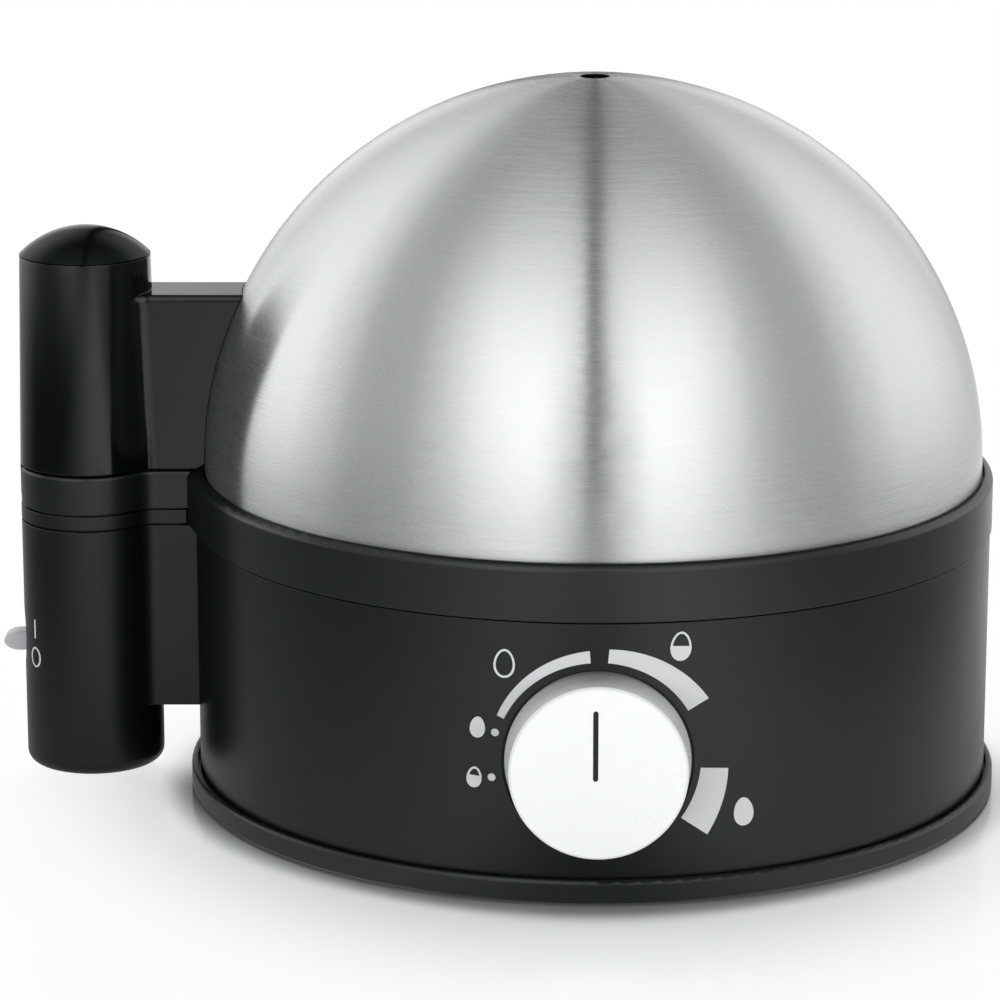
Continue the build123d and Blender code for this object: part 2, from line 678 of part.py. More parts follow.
with BuildPart() as knob_shaft:
    with BuildSketch(Plane.XZ.offset(-BOARD_Y + 1.0)):
        with Locations((0, DIAL_Z)):
            Circle(SHAFT_R)
    extrude(amount=-DIAL_FACE_Y - KNOB_FACE + BOARD_Y - 1.0)
export(knob_shaft, "knob_shaft")

with BuildPart() as knob_clip:
    with BuildSketch(Plane.XZ.offset(-HUB_BACK_Y + 0.4)):
        with Locations((0, DIAL_Z)):
            Circle(HUB_R + 0.6)
            Circle(HUB_R, mode=Mode.SUBTRACT)
            with Locations((0, -HUB_R)):
                Rectangle(1.5, 3, mode=Mode.SUBTRACT)
    extrude(amount=2.4)
export(knob_clip, "knob_clip")

# On/off switch in the column
SWITCH_FRONT_X = -128.6
SWITCH_BACK_X = -113.6
SWITCH_HALF = 6.5
SWITCH_TOP = 46.0
LEVER_HALF = 3.1
LEVER_THICK = 4.7
CHEEK_FRONT_X = -132.6

with BuildPart() as switch_body:
    with BuildSketch(Plane.XZ.offset(-SWITCH_HALF)):
        with Locations(((SWITCH_FRONT_X + SWITCH_BACK_X) / 2, (SHELF_TOP + SWITCH_TOP) / 2)):
            Rectangle(SWITCH_BACK_X - SWITCH_FRONT_X, SWITCH_TOP - SHELF_TOP)
    extrude(amount=2 * SWITCH_HALF)
    with BuildSketch(Plane.XZ.offset(-SWITCH_HALF)):
        with Locations((CHEEK_FRONT_X, SWITCH_Z)):
            Rectangle(8, 8, align=(Align.MIN, Align.CENTER))
    extrude(amount=2 * SWITCH_HALF)
    with BuildSketch(Plane.XZ.offset(-LEVER_HALF - 0.5)):
        with Locations((CHEEK_FRONT_X - 1, SWITCH_Z)):
            Rectangle(8, 14, align=(Align.MIN, Align.CENTER))
    extrude(amount=2 * LEVER_HALF + 1, mode=Mode.SUBTRACT)
    with BuildSketch(Plane.XZ.offset(-10)):
        with Locations((PIVOT_X, PIVOT_Z)):
            Circle(1.0)
    extrude(amount=20, mode=Mode.SUBTRACT)
export(switch_body, "switch_body")

with BuildPart() as switch_pin:
    with BuildSketch(Plane.XZ.offset(-SWITCH_HALF)):
        with Locations((PIVOT_X, PIVOT_Z)):
            Circle(1.0)
    extrude(amount=2 * SWITCH_HALF)
export(switch_pin, "switch_pin")

lever_length = PIVOT_X - LEVER_TIP_X
TIP_LENGTH = 3.9  # rounded end of the lever
lever_plane = Plane(
    origin=(PIVOT_X, LEVER_HALF, PIVOT_Z),
    x_dir=(-cos(radians(LEVER_TILT)), 0, -sin(radians(LEVER_TILT))),
    z_dir=(0, -1, 0),
)
with BuildPart() as switch_lever:
    with BuildSketch(lever_plane):
        with Locations((1.5, 0)):
            Rectangle(lever_length - 1.5 - TIP_LENGTH, LEVER_THICK, align=(Align.MIN, Align.CENTER))
        with Locations((lever_length - TIP_LENGTH, 0)):
            Ellipse(TIP_LENGTH, LEVER_THICK / 2)
        Circle(2.3)
        Circle(1.05, mode=Mode.SUBTRACT)
    extrude(amount=2 * LEVER_HALF)
    lever_rims = edges().filter_by(
        lambda e: abs(abs(e.center().Y) - LEVER_HALF) < 0.01 and e.center().X < PIVOT_X - 3
    )
    fillet(lever_rims, 1.2)
export(switch_lever, "switch_lever")

# Hinge pin of the lid
with BuildPart() as hinge_pin:
    with BuildSketch(Plane.XZ.offset(-9.0)):
        with Locations((HINGE_X, HINGE_Z)):
            Circle(HINGE_PIN_R)
    extrude(amount=16.0)
export(hinge_pin, "hinge_pin")

# Lid: glossy column with web, cap, dome, and what holds them together
LID_BOTTOM = RING_TOP + LID_GAP
BORE_R = 12.6
TONGUE_IN = 3.0
WEB_END = -70.0
WEB_ROUND = 1.5
SCREW_LEVELS = [88.0, 104.0]
SCREW_R = 1.5
web_taper = degrees(asin((COLUMN_R - COLUMN_TOP_R) / (COLUMN_TOP - LID_BOTTOM)))

with BuildPart() as lid_column:
    with BuildSketch(Plane.XY.offset(LID_BOTTOM)):
        with Locations((COLUMN_X, 0)):
            Circle(COLUMN_R)
    extrude(amount=COLUMN_TOP - LID_BOTTOM, taper=web_taper)
    with BuildSketch(Plane.XY.offset(LID_BOTTOM)):
        with Locations((COLUMN_X, 0)):
            Rectangle(WEB_END - COLUMN_X, 2 * WEB_HALF, align=(Align.MIN, Align.CENTER))
    extrude(amount=WEB_TOP - LID_BOTTOM)
    joints = edges().filter_by(
        lambda e: e.length > 20 and e.center().X > COLUMN_X + 10 and abs(abs(e.center().Y) - WEB_HALF) < 0.2
    )
    fillet(joints.filter_by(lambda e: e.center().X < -100), WEB_FILLET)
    # rounding along both upper edges of the web, swept up to the column
    for side in (-1, 1):
        upper_rim = edges().filter_by(
            lambda e: abs(e.center().Z - WEB_TOP) < 0.01 and 8.9 < side * e.center().Y < 9.7
        )
        with BuildLine() as rim_path:
            add(upper_rim)
        # local x runs down from the edge, local y runs towards -Y
        corner = Plane(origin=(WEB_END, side * WEB_HALF, WEB_TOP), x_dir=(0, 0, -1), z_dir=(-1, 0, 0))
        with BuildSketch(corner):
            with Locations((WEB_ROUND, side * WEB_ROUND)):
                Rectangle(4, 4, align=(Align.MAX, Align.MAX if side > 0 else Align.MIN))
                Circle(WEB_ROUND, mode=Mode.SUBTRACT)
        sweep(path=rim_path.wires()[0], mode=Mode.SUBTRACT)
    with BuildSketch(Plane.XY.offset(LID_BOTTOM)):
        with Locations((COLUMN_X, 0)):
            Circle(COLUMN_R)
    extrude(amount=COLUMN_TOP - LID_BOTTOM, taper=web_taper)
    # the web ends on the dome
    with BuildSketch(Plane.XZ):
        dome_section(0.05, LID_BOTTOM - 10)
    revolve(axis=Axis.Z, mode=Mode.SUBTRACT)
    # hollow of the column, open at the top
    with BuildSketch(Plane.XY.offset(LID_BOTTOM + COLUMN_WALL)):
        with Locations((COLUMN_X, 0)):
            Circle(BORE_R)
    extrude(amount=100, mode=Mode.SUBTRACT)
    # tongue that hangs in the collar's slot
    with BuildSketch(Plane.XZ.offset(-TONGUE_HALF)):
        with Locations((HINGE_X + TONGUE_IN, LID_BOTTOM)):
            Rectangle(2 * TONGUE_IN + 3, LID_BOTTOM - HINGE_Z, align=(Align.MAX, Align.MAX))
        with Locations((HINGE_X, HINGE_Z)):
            Circle(TONGUE_IN)
    extrude(amount=2 * TONGUE_HALF)
    with BuildSketch(Plane.XY.offset(HINGE_Z - 10)):
        with Locations((COLUMN_X, 0)):
            Rectangle(60, 60)
            Circle(COLUMN_R, mode=Mode.SUBTRACT)
    extrude(amount=LID_BOTTOM - HINGE_Z + 10, mode=Mode.SUBTRACT)
    with BuildSketch(Plane.XZ.offset(-10)):
        with Locations((HINGE_X, HINGE_Z)):
            Circle(HINGE_PIN_R + 0.05)
    extrude(amount=20, mode=Mode.SUBTRACT)
    # holes for the screws of the dome
    with BuildSketch(Plane.YZ.offset(-102)):
        with Locations(*[(0, z) for z in SCREW_LEVELS]):
            Circle(SCREW_R)
    extrude(amount=30, mode=Mode.SUBTRACT)
export(lid_column, "lid_column")

with BuildPart() as column_cap:
    cap_r = (COLUMN_TOP_R**2 + CAP_RISE**2) / (2 * CAP_RISE)
    with BuildSketch(Plane.XZ):
        with BuildLine():
            rim_angle = degrees(asin(COLUMN_TOP_R / cap_r))
            CenterArc((0, CAP_BOTTOM + CAP_RISE - cap_r), cap_r, 90 - rim_angle, rim_angle)
            Polyline(
                (0, CAP_BOTTOM + CAP_RISE),
                (0, CAP_BOTTOM + CAP_RISE - 2),
                (BORE_R - 2, CAP_BOTTOM + 1),
                (BORE_R - 2, CAP_BOTTOM - 5),
                (BORE_R, CAP_BOTTOM - 5),
                (BORE_R, CAP_BOTTOM),
                (COLUMN_TOP_R, CAP_BOTTOM),
            )
        make_face()
    revolve(axis=Axis.Z)
column_cap.part.locate(Location((COLUMN_X, 0, 0)))
export(column_cap, "column_cap")


with BuildPart() as lid_dome:
    with BuildSketch(Plane.XZ):
        shell_section(0.0, DOME_SHEET, VENT_R)
    revolve(axis=Axis.Z)
    with BuildSketch(Plane.YZ.offset(-100)):
        with Locations(*[(0, z) for z in SCREW_LEVELS]):
            Circle(SCREW_R)
    extrude(amount=30, mode=Mode.SUBTRACT)
export(lid_dome, "lid_dome")

with BuildPart() as dome_plate:
    with BuildSketch(Plane.XZ):
        shell_section(DOME_SHEET, DOME_SHEET + 1.3, 40.0)
    revolve(axis=Axis.Z)
    with BuildSketch(Plane.YZ.offset(-100)):
        with Locations((0, 96)):
            RectangleRounded(15, 34, 3)
        with Locations(*[(0, z) for z in SCREW_LEVELS]):
            Circle(SCREW_R, mode=Mode.SUBTRACT)
    extrude(amount=50, mode=Mode.INTERSECT)
export(dome_plate, "dome_plate")

HEAD_SEATS = [-89.2, -85.9]
with BuildPart() as dome_screws:
    for level, seat in zip(SCREW_LEVELS, HEAD_SEATS):
        with BuildSketch(Plane.YZ.offset(-102)):
            with Locations((0, level)):
                Circle(SCREW_R)
        extrude(amount=102 + seat)
        with BuildSketch(Plane.YZ.offset(seat)):
            with Locations((0, level)):
                Circle(3.0)
        extrude(amount=2.0)
export(dome_screws, "dome_screws")

# Egg carrier and its handle
RIM_DEPTH = 4.4
HANDLE_R = 5.0
LOOP_R = 13.0
LOOP_HOLE_R = 8.5
LOOP_Z = 112.0
LOOP_HALF = 3.5

with BuildPart() as egg_carrier:
    with BuildSketch(Plane.XY.offset(CARRIER_TOP - CARRIER_PLATE)):
        Circle(CARRIER_R)
        with PolarLocations(EGG_CIRCLE_R, EGG_COUNT, start_angle=90):
            Circle(EGG_HOLE_R, mode=Mode.SUBTRACT)
    extrude(amount=CARRIER_PLATE)
    with BuildSketch(Plane.XY.offset(CARRIER_TOP - RIM_DEPTH)):
        Circle(CARRIER_R)
        Circle(CARRIER_R - 2, mode=Mode.SUBTRACT)
    extrude(amount=RIM_DEPTH - CARRIER_PLATE)
    fillet(faces().sort_by(Axis.Z)[-1].outer_wire().edges(), 1.0)
    chamfer(faces().sort_by(Axis.Z)[-1].inner_wires().edges(), 0.9)
    with BuildSketch(Plane.XY.offset(CARRIER_TOP - CARRIER_PLATE)):
        Circle(1.7)
    extrude(amount=10, mode=Mode.SUBTRACT)
export(egg_carrier, "egg_carrier")

with BuildPart() as carrier_handle:
    with BuildSketch(Plane.XY.offset(CARRIER_TOP)):
        Circle(9.0)
    extrude(amount=2.0)
    with BuildSketch(Plane.XY.offset(CARRIER_TOP)):
        Circle(HANDLE_R)
    extrude(amount=LOOP_Z - LOOP_R - CARRIER_TOP + 3)
    with BuildSketch(Plane.XZ.offset(-LOOP_HALF)):
        with Locations((0, LOOP_Z)):
            Circle(LOOP_R)
    extrude(amount=2 * LOOP_HALF)
    with BuildSketch(Plane.XZ.offset(-10)):
        with Locations((0, LOOP_Z)):
            Circle(LOOP_HOLE_R)
    extrude(amount=20, mode=Mode.SUBTRACT)
    with BuildSketch(Plane.XY.offset(CARRIER_TOP)):
        Circle(1.5)
    extrude(amount=12, mode=Mode.SUBTRACT)
export(carrier_handle, "carrier_handle")
screw_group("handle_screw", CARRIER_TOP - CARRIER_PLATE, 3.0, 1.8, 1.5, CARRIER_PLATE + 10, [(0, 0)])

# Terminal block, inlet bush and wires
with BuildPart() as terminal_block:
    with BuildSketch(Plane.XY.offset(PLATE_TOP)):
        with Locations((0, 62)):
            Rectangle(28, 12)
    extrude(amount=11)
    with BuildSketch(Plane.XY.offset(PLATE_TOP + 7)):
        with GridLocations(9, 1, 3, 1):
            with Locations((0, 62)):
                Circle(2.2)
    extrude(amount=4, mode=Mode.SUBTRACT)
export(terminal_block, "terminal_block")

GLAND_BORE_R = 3.4
with BuildPart() as cord_gland:
    with BuildSketch(Plane.XZ.offset(-BODY_R + WALL + 4)):
        with Locations((0, INLET_Z)):
            Circle(INLET_R)
    extrude(amount=-WALL - 4.2)
    with BuildSketch(Plane.XZ.offset(-BODY_R - 0.2)):
        with Locations((0, INLET_Z)):
            Circle(7.2)
    extrude(amount=-1.6)
    with BuildSketch(Plane.XZ.offset(-BODY_R - 5)):
        with Locations((0, INLET_Z)):
            Circle(GLAND_BORE_R)
    extrude(amount=20, mode=Mode.SUBTRACT)
export(cord_gland, "cord_gland")

WIRE_R = 1.1
TAIL_X = ELEMENT_R * cos(radians(half_gap + 3))
TAIL_Y = ELEMENT_R * sin(radians(half_gap + 3))
TAIL_Z = SPREADER_BOTTOM - 14
BACK_X = SWITCH_BACK_X
LIVE_IN = [(-9, 62, 12), (-9, 62, 22), (-30, 45, 24), (-60, 20, 24), (-86, 2.4, 35), (BACK_X, 2.4, 35)]
LIVE_OUT = [
    (BACK_X, -2.4, 33),
    (-86, -2.4, 33),
    (-60, -10, 24),
    (20, -22, 24),
    (TAIL_X, -TAIL_Y, 28),
    (TAIL_X, -TAIL_Y, TAIL_Z),
]
NEUTRAL = [(9, 62, 12), (9, 62, 22), (30, 34, 24), (TAIL_X, TAIL_Y, 26), (TAIL_X, TAIL_Y, TAIL_Z)]
TIMER = [(0, 62, 12), (0, 62, 24), (-8, 40, 20), (-26, -40, 20), (-26, -62, 30), (-26, BOARD_BACK_Y, 30)]
with BuildPart() as wiring:
    for route in (LIVE_IN, LIVE_OUT, NEUTRAL, TIMER):
        with BuildLine() as run:
            FilletPolyline(*route, radius=4)
        with BuildSketch(Plane(origin=run.line @ 0, z_dir=run.line % 0)):
            Circle(WIRE_R)
        sweep(path=run.wires()[0])
export(wiring, "wiring")

# Printed marks, as skins a tenth of a millimetre thick
PRINT = 0.1
STROKE = 0.5
EGG_NARROW = 0.12
EGG_WIDEST = 1.0071
# start and end angle, inner radius, outer radius at start and end
DIAL_ARCS = [
    (156.0, 94.4, 22.7, 24.4, 25.5),
    (84.8, 29.6, 22.75, 25.87, 27.95),
    (-5.3, -36.0, 22.8, 29.0, 30.1),
]


def dial_arc(start, end, inner, outer_start, outer_end):
    """Curved bar round the dial whose outer edge slowly widens from start to end."""
    steps = 10
    outer = []
    for i in range(steps + 1):
        angle = radians(start + (end - start) * i / steps)
        radius = outer_start + (outer_end - outer_start) * i / steps
        outer.append((radius * cos(angle), radius * sin(angle)))
    with BuildLine() as outline:
        edge = Spline(*outer)
        inside = CenterArc((0, 0), inner, end, start - end)
        Line(edge @ 1, inside @ 0)
        Line(inside @ 1, edge @ 0)
    make_face(outline.edges())


def egg(x, z, width, height, tilt=0.0, mode=Mode.ADD):
    """Egg outline round x, z, narrower at the top, leaning by tilt."""
    points = []
    for i in range(24):
        angle = radians(15 * i)
        across = width / 2 * cos(angle) * (1 - EGG_NARROW * sin(angle)) / EGG_WIDEST
        up = height / 2 * sin(angle)
        lean = radians(tilt)
        points.append((x + across * cos(lean) - up * sin(lean), z + across * sin(lean) + up * cos(lean)))
    with BuildLine() as outline:
        Spline(*points, periodic=True)
    make_face(outline.edges(), mode=mode)


def half_egg(x, z, width, height, level, tilt=0.0):
    """Egg drawn as a line and filled up to level over its middle."""
    egg(x, z, width, height, tilt)
    egg(x, z, width - 2 * STROKE, height - 2 * STROKE, tilt, mode=Mode.SUBTRACT)
    with BuildSketch(mode=Mode.PRIVATE) as filling:
        egg(x, z, width - STROKE, height - STROKE, tilt)
        with Locations(Pos(x, z) * Rot(0, 0, tilt) * Pos(0, level)):
            Rectangle(20, 20, align=(Align.CENTER, Align.MIN), mode=Mode.SUBTRACT)
    add(filling.sketch)


with BuildPart() as dial_marks:
    with BuildSketch(Plane(origin=(0, -80, MARKS_Z), x_dir=(1, 0, 0), z_dir=(0, -1, 0))):
        for arc_values in DIAL_ARCS:
            dial_arc(*arc_values)
        for dot_place in ((-22.7, 5.95), (-23.45, -4.45)):
            with Locations(dot_place):
                Circle(0.87)
        egg(-20.66, 21.93, 4.72, 6.6, tilt=-2.5)
        egg(-20.66, 21.93, 4.72 - 2 * STROKE, 6.6 - 2 * STROKE, tilt=-2.5, mode=Mode.SUBTRACT)
        half_egg(18.05, 26.07, 4.67, 6.65, 0.05, tilt=-3.0)
        egg(32.46, -13.18, 4.45, 6.6, tilt=3.5)
        egg(-26.57, 6.87, 3.38, 4.87, tilt=-5.0)
        half_egg(-27.32, -4.72, 3.38, 4.85, 0.42, tilt=-5.0)
    extrude(amount=30)
    with BuildSketch(Plane.XY):
        Circle(BODY_R + PRINT)
        Circle(BODY_R, mode=Mode.SUBTRACT)
    extrude(amount=BODY_TOP, mode=Mode.INTERSECT)
export(dial_marks, "dial_marks")

MARK_ANGLE = 51.5  # the marks stand this far left of the column's front
mark_dir = (-sin(radians(MARK_ANGLE)), -cos(radians(MARK_ANGLE)), 0)
mark_plane = Plane(
    origin=(COLUMN_X, 0, SWITCH_Z),
    x_dir=(cos(radians(MARK_ANGLE)), -sin(radians(MARK_ANGLE)), 0),
    z_dir=mark_dir,
)
with BuildPart() as switch_marks:
    with BuildSketch(mark_plane):
        with Locations((0, 3.9)):
            Rectangle(0.48, 4.6)
        with Locations((0, -3.1)):
            Ellipse(1.97, 2.5)
            Ellipse(1.5, 2.07, mode=Mode.SUBTRACT)
    extrude(amount=30)
    with BuildSketch(Plane.XY):
        with Locations((COLUMN_X, 0)):
            Circle(COLUMN_R + PRINT)
            Circle(COLUMN_R, mode=Mode.SUBTRACT)
    extrude(amount=BODY_TOP, mode=Mode.INTERSECT)
export(switch_marks, "switch_marks")
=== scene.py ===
import math

import bpy
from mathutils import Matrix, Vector

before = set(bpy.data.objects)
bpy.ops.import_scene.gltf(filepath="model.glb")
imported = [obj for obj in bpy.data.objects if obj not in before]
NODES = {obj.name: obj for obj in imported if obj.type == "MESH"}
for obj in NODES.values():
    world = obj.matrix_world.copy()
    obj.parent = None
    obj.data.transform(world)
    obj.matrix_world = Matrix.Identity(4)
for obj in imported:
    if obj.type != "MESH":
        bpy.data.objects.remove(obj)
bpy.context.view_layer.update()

bpy.context.scene.view_settings.view_transform = "Standard"

# Camera: the photograph's viewing angle, in metres and degrees
CAMERA_PLACE = (-0.01585, -0.99987, 0.32118)
CAMERA_YAW = -0.362
CAMERA_PITCH = 14.187
CAMERA_LENS = 155.197
SENSOR_WIDTH = 36.0
CLIP_END = 20.0

# Lamps: place, point that they aim at, size in metres and watts
LAMPS = {
    "lamp_left": ((-0.9, -1.2, 0.08), (0, 0, 0.06), (1.0, 0.14), 10.5),
    "lamp_right": ((1.0, -1.15, 0.08), (0, 0, 0.06), (1.0, 0.14), 10.5),
    "lamp_top": ((0.0, 0.6, 1.35), (0, 0, 0.0), (1.2, 1.2), 28.0),
}

# In the studio pattern below, each row of four numbers is a ramp: it starts at the first number, ends
# at the second, and goes from the third to the fourth. Directions are unit vectors, angles radians.

# Reflections of reflections see a darker studio
BOUNCES = (1.0, 2.0, 1.0, 0.1)

# Soft boxes, by the angle from the front
FRONT_BOX = (0.3, 1.05, 1.85, 0.54)
SIDE_FILL = (1.22, 1.85, 0.0, 0.9)
BACK_DIM = (2.0, 2.6, 0.0, -0.35)
REAR_DIM = (2.4, 2.9, 0.0, -0.45)
SIDE_BY_X = (-1.0, 1.0, 1.06, 0.9)

# World: how the boxes close in and dim with height, the light overhead, the rim at the rear
AROUND_BY_HEIGHT = (0.3, 0.8, 0.0, 0.4)
SIDE_BY_HEIGHT = (0.2, 0.8, 1.0, 0.62)
HIGH_SHARE = (0.6, 0.97, 0.0, 1.0)
OVERHEAD = (-0.36, 0.36, 0.08, 1.08)
RIGHT_DIM = (0.0, 0.5, 1.0, 0.96)
REAR_RIM = (-0.88, -1.0, 0.0, 0.5)
WORLD_DIFFUSE = 0.12

# World: the dark gap between the two front boxes
SLIT_WIDTH = (0.6, 1.0, 0.07, 0.3)
SLIT_WIDTH_BEHIND = (0.2, -0.5, 0.0, 0.13)
SLIT_DEPTH = (0.66, 0.97, 0.05, 0.97)
SLIT_DEPTH_BEHIND = (0.05, -0.3, 0.0, 0.4)
SLIT_CORE = (0.016, 0.068, 0.0, 1.0)

# Floor as the camera sees it: it fades to white away from the cooker, sooner at the sides
FLOOR_HALF = 3.0
FLOOR_COLOR = (0.9, 0.9, 0.905, 1.0)
FLOOR_ROUGH = 0.12
FADE_STRETCH = 1.25
FADE_RIM = (0.0965, 0.111, 0.0, 0.55)
FADE_NEAR = (0.108, 0.17, 0.0, 0.36)
FADE_FAR = (0.2, 0.3, 0.0, 0.09)
CONTACT_SHADOW = (0.0965, 0.106, 0.0, 1.0)

# Floor as gloss sees it close to the cooker: a painted glow, with painted shadow that dims it next to
# the cooker
NEAR_RISE = (-0.42, 0.08, 0.08, 1.2)
NEAR_FALL = (0.12, 0.3, 0.0, -0.85)
NEAR_BEHIND = (0.02, 0.3, 0.0, 0.5)
NEAR_BY_ANGLE = (0.5, 1.1, 1.0, 0.7)
NEAR_PAINTED_SHADOW = (0.1, 0.25, 0.62, 1.0)
FLOOR_SLIT = (0.004, 0.06, 0.2, 1.0)
FLOOR_SLIT_END = (-0.38, -0.32, 1.0, 0.0)

# Floor as gloss sees it far off
FAR_SHARE = (0.6, 1.1, 0.0, 1.0)
FAR_WIDE = (0.0, 0.45, 0.0, 1.0)
FAR_LEVEL = 0.82
FAR_RIGHT_DIM = (0.0, 0.3, 1.0, 0.93)

# The part of a noise's range that most of its values lie in
NOISE_SPAN = (0.3, 0.7)

# Plastic: noise scales per metre, and how much the fine grain adds to the gloss
SLOW_SCALE = 28.0
GRAIN_SCALE = 1.0 / 0.0006
GRAIN_SHARE = 0.4
FINE_GRAIN = 0.000002
COARSE_GRAIN = 0.000006

# Polished plastic: dust specks on a slow change in gloss
POLISH_SCALE = 40.0
DUST_SCALE = 900.0
DUST_SPECKS = (0.72, 0.8, 0.0, 1.0)
DUST_ROUGH = 0.12
DUST_PALER = 2.2
POLISH_WAVE = 0.00002
POLISH_EDGE = 0.0004

# Brushed steel: across and along scales of the fine and broad streaks, and the fine ones' share
FINE_STREAKS = (70.0, 4800.0)
BROAD_STREAKS = (40.0, 1500.0)
FINE_SHARE = 0.65
STREAK_HEIGHT = 0.0000014
STREAK_SHADE = 0.04
DOME_R = 0.092
DOME_MIDDLE_Z = 0.07977

# Steam hole in the dome: its wall is painted dark, a painted shade for the shade inside the hole
STEAM_HOLE_R = 0.0035
HOLE_SHADE_WALL = (STEAM_HOLE_R + 0.00002, STEAM_HOLE_R + 0.0001, 0.0, 1.0)
HOLE_SHADE_COLOR = (0.004, 0.004, 0.004, 1.0)

# Plain metal
MOTTLE_SCALE = 1.0 / 0.0015
TARNISH_SCALE = 60.0
MOTTLE_HEIGHT = 0.00001

BLACK = (0.0033, 0.0034, 0.0036)
# painted light: the rim plastic is the housing's black made paler so that it renders brighter
RIM_PAINTED_LIGHT = 2.0
# painted light: the cover plastic is the housing's black made paler so that its flange renders brighter
COVER_PAINTED_LIGHT = 1.8
GLOSS_BLACK = (0.0022, 0.0024, 0.0024)
CAP_SPECULAR = 0.13


def scaled(color, factor):
    return tuple(min(1.0, part * factor) for part in color)


PLASTICS = {
    "housing_plastic": dict(color=BLACK, rough=0.32, grain=COARSE_GRAIN, specular=0.46, edge=0.0004),
    "rim_plastic": dict(color=scaled(BLACK, RIM_PAINTED_LIGHT), rough=0.31, grain=COARSE_GRAIN, edge=0.0004),
    "spacer_plastic": dict(color=BLACK, rough=0.36, grain=COARSE_GRAIN, edge=0.0003),
    "cover_plastic": dict(color=scaled(BLACK, COVER_PAINTED_LIGHT), rough=0.42, grain=COARSE_GRAIN),
    "foot_rubber": dict(color=(0.012, 0.012, 0.012), rough=0.8, grain=0.00003, specular=0.3),
    "seal_silicone": dict(color=(0.52, 0.52, 0.5), rough=0.5),
    "thermostat_body": dict(color=(0.09, 0.03, 0.015), rough=0.5),
    "fuse_body": dict(color=(0.6, 0.56, 0.45), rough=0.4),
    "board_laminate": dict(color=(0.02, 0.12, 0.05), rough=0.4),
    "component_plastic": dict(color=(0.02, 0.02, 0.022), rough=0.4),
    "switch_plastic": dict(color=(0.02, 0.02, 0.02), rough=0.4),
    "terminal_plastic": dict(color=(0.72, 0.7, 0.64), rough=0.5),
    "bush_rubber": dict(color=(0.01, 0.01, 0.01), rough=0.6, grain=0.00002),
    "wire_silicone": dict(color=(0.3, 0.05, 0.04), rough=0.5),
    "mark_print": dict(color=(0.6, 0.6, 0.605), rough=0.5, spread=0.03),
    "knob_white": dict(color=(0.88, 0.88, 0.885), rough=0.25, spread=0.01, edge=0.0003),
    "pointer_black": dict(color=(0.008, 0.008, 0.008), rough=0.4),
    "lever_grey": dict(color=(0.45, 0.45, 0.46), rough=0.3, edge=0.0003),
    "carrier_plastic": dict(color=(0.012, 0.012, 0.013), rough=0.35),
    "handle_plastic": dict(color=(0.012, 0.012, 0.013), rough=0.3),
}

METALS = {
    "screw_steel": dict(color=(0.55, 0.55, 0.54), rough=0.3),
    "spreader_aluminium": dict(color=(0.62, 0.62, 0.63), rough=0.45),
    "element_tube": dict(color=(0.16, 0.14, 0.13), rough=0.5),
    "strap_steel": dict(color=(0.5, 0.5, 0.49), rough=0.35),
    "potentiometer_metal": dict(color=(0.6, 0.6, 0.58), rough=0.3),
    "shaft_metal": dict(color=(0.6, 0.6, 0.58), rough=0.3),
    "clip_spring": dict(color=(0.3, 0.3, 0.3), rough=0.3),
}


class Nodes:
    """A short way to write one node tree."""

    def __init__(self, tree):
        self.tree = tree

    def add(self, kind, **values):
        node = self.tree.nodes.new(kind)
        for name, value in values.items():
            setattr(node, name, value)
        return node

    def link(self, out, to):
        self.tree.links.new(out, to)

    def fill(self, node, values):
        """Set or link the node's inputs in their order; None leaves an input alone."""
        for index, value in enumerate(values):
            if value is None:
                continue
            if isinstance(value, (int, float)):
                node.inputs[index].default_value = value
            else:
                self.link(value, node.inputs[index])
        return node.outputs[0]

    def math(self, operation, a, b=None, c=None, clamp=False):
        return self.fill(self.add("ShaderNodeMath", operation=operation, use_clamp=clamp), (a, b, c))

    def product(self, a, b):
        return self.math("MULTIPLY", a, b)

    def total(self, a, b):
        return self.math("ADD", a, b)

    def rest(self, share):
        """One less the share."""
        return self.math("SUBTRACT", 1.0, share)

    def combine(self, x, y, z):
        return self.fill(self.add("ShaderNodeCombineXYZ"), (x, y, z))

    def split(self, vector):
        node = self.add("ShaderNodeSeparateXYZ")
        self.link(vector, node.inputs[0])
        return tuple(node.outputs)

    def distance(self, x, y):
        return self.math("SQRT", self.math("MULTIPLY_ADD", x, x, self.product(y, y)))

    def noise(self, vector, scale, detail=3.0, rough=0.5):
        node = self.add("ShaderNodeTexNoise")
        node.inputs["Scale"].default_value = scale
        node.inputs["Detail"].default_value = detail
        node.inputs["Roughness"].default_value = rough
        self.link(vector, node.inputs["Vector"])
        return node.outputs["Fac"]

    def ramp(self, value, low, high, to_low, to_high, smooth=False):
        node = self.add("ShaderNodeMapRange")
        node.interpolation_type = "SMOOTHSTEP" if smooth else "LINEAR"
        rows = (("From Min", low), ("From Max", high), ("To Min", to_low), ("To Max", to_high))
        for name, number in rows:
            node.inputs[name].default_value = number
        self.link(value, node.inputs["Value"])
        return node.outputs["Result"]

    def mix(self, factor, dark, light):
        node = self.add("ShaderNodeMix", data_type="RGBA")
        node.inputs[6].default_value = (*dark, 1.0)
        node.inputs[7].default_value = (*light, 1.0)
        self.link(factor, node.inputs[0])
        return node.outputs[2]

    def bump(self, height, distance, edge=0.0):
        """Raise the surface by height; edge rounds its sharp edges by that radius."""
        node = self.add("ShaderNodeBump")
        node.inputs["Distance"].default_value = distance
        self.link(height, node.inputs["Height"])
        if edge:
            soft = self.add("ShaderNodeBevel", samples=4)
            soft.inputs["Radius"].default_value = edge
            self.link(soft.outputs[0], node.inputs["Normal"])
        return node.outputs["Normal"]


def new_material(name):
    material = bpy.data.materials.new(name)
    material.use_nodes = True
    tree = material.node_tree
    nodes = Nodes(tree)
    shader = tree.nodes["Principled BSDF"]
    place = nodes.add("ShaderNodeTexCoord").outputs["Object"]
    return material, nodes, shader, place


